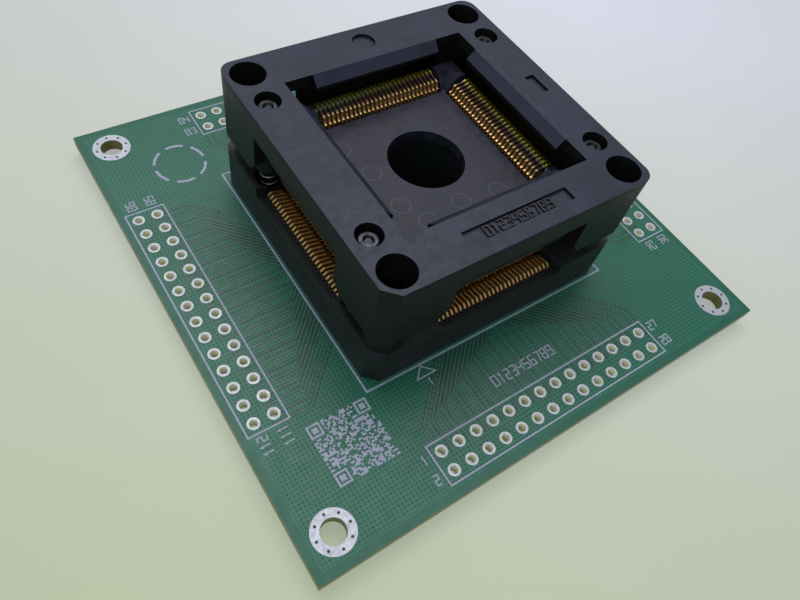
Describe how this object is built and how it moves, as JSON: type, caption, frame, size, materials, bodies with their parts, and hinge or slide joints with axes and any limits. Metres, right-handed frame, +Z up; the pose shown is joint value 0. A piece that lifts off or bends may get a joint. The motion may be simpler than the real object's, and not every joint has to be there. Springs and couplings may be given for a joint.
{
  "type": "zif test socket on adapter board",
  "caption": "Open-top zero-insertion-force socket for a square quad flat package, on a square adapter board with plated header holes and corner mounting holes.",
  "frame": {"origin": "middle of the board's outline, on the surface that the part stands on", "axes": "+X along the front edge of the board to the right, +Y to the rear, +Z up; contact 1 is next to the front left corner"},
  "size_m": [0.07, 0.07, 0.0211],
  "materials": {
    "circuit_board": "green solder mask over glass-epoxy laminate",
    "tinned_pads": "tinned copper",
    "base_moulding": "black glass-filled moulding",
    "nest_moulding": "black moulding with a mottled surface",
    "comb_moulding": "black moulding",
    "cover_moulding": "satin black moulding",
    "contact_gold": "gold plated spring copper",
    "pin_steel": "dull steel",
    "screw_steel": "nickel plated steel",
    "spring_steel": "drawn spring wire",
    "solder": "bright solder"
  },
  "bodies": {
    "base": {"board": "circuit_board", "mounting_lands": "tinned_pads", "header_pads_front": "tinned_pads", "header_pads_right": "tinned_pads", "header_pads_rear": "tinned_pads", "header_pads_left": "tinned_pads", "socket_base": "base_moulding", "nest_plate": "nest_moulding", "contact_comb_front": "comb_moulding", "contact_comb_right": "comb_moulding", "contact_comb_rear": "comb_moulding", "contact_comb_left": "comb_moulding", "contacts_front": "contact_gold", "contacts_right": "contact_gold", "contacts_rear": "contact_gold", "contacts_left": "contact_gold", "guide_pins": "pin_steel", "spring_front_left": "spring_steel", "spring_front_right": "spring_steel", "spring_rear_left": "spring_steel", "spring_rear_right": "spring_steel", "socket_screws": "screw_steel", "hex_nuts": "screw_steel", "solder_joints": "solder"},
    "cover": {"cover": "cover_moulding"},
    "contact_row_front": {"contact_arms_front": "contact_gold"},
    "contact_row_right": {"contact_arms_right": "contact_gold"},
    "contact_row_rear": {"contact_arms_rear": "contact_gold"},
    "contact_row_left": {"contact_arms_left": "contact_gold"}
  },
  "joints": [
    {"name": "cover_press", "type": "slide", "parent": "base", "child": "cover", "axis": [0, 0, -1], "range_m": [0, 0.0025], "stiffness_N_per_m": 2000, "springref_m": -0.0015, "deforming": ["spring_front_left", "spring_front_right", "spring_rear_left", "spring_rear_right"]},
    {"name": "contacts_open_front", "type": "hinge", "parent": "base", "child": "contact_row_front", "pos_m": [0, -0.01225, 0.009], "axis": [1, 0, 0], "range_deg": [0, 18]},
    {"name": "contacts_open_right", "type": "hinge", "parent": "base", "child": "contact_row_right", "pos_m": [0.0126, 0.00035, 0.009], "axis": [0, 1, 0], "range_deg": [0, 18]},
    {"name": "contacts_open_rear", "type": "hinge", "parent": "base", "child": "contact_row_rear", "pos_m": [0, 0.01295, 0.009], "axis": [-1, 0, 0], "range_deg": [0, 18]},
    {"name": "contacts_open_left", "type": "hinge", "parent": "base", "child": "contact_row_left", "pos_m": [-0.0126, 0.00035, 0.009], "axis": [0, -1, 0], "range_deg": [0, 18]}
  ],
  "couplings": [
    {"joint": "contacts_open_front", "follows": "cover_press", "rad_per_m": 125.61},
    {"joint": "contacts_open_right", "follows": "cover_press", "rad_per_m": 125.61},
    {"joint": "contacts_open_rear", "follows": "cover_press", "rad_per_m": 125.61},
    {"joint": "contacts_open_left", "follows": "cover_press", "rad_per_m": 125.61}
  ]
}
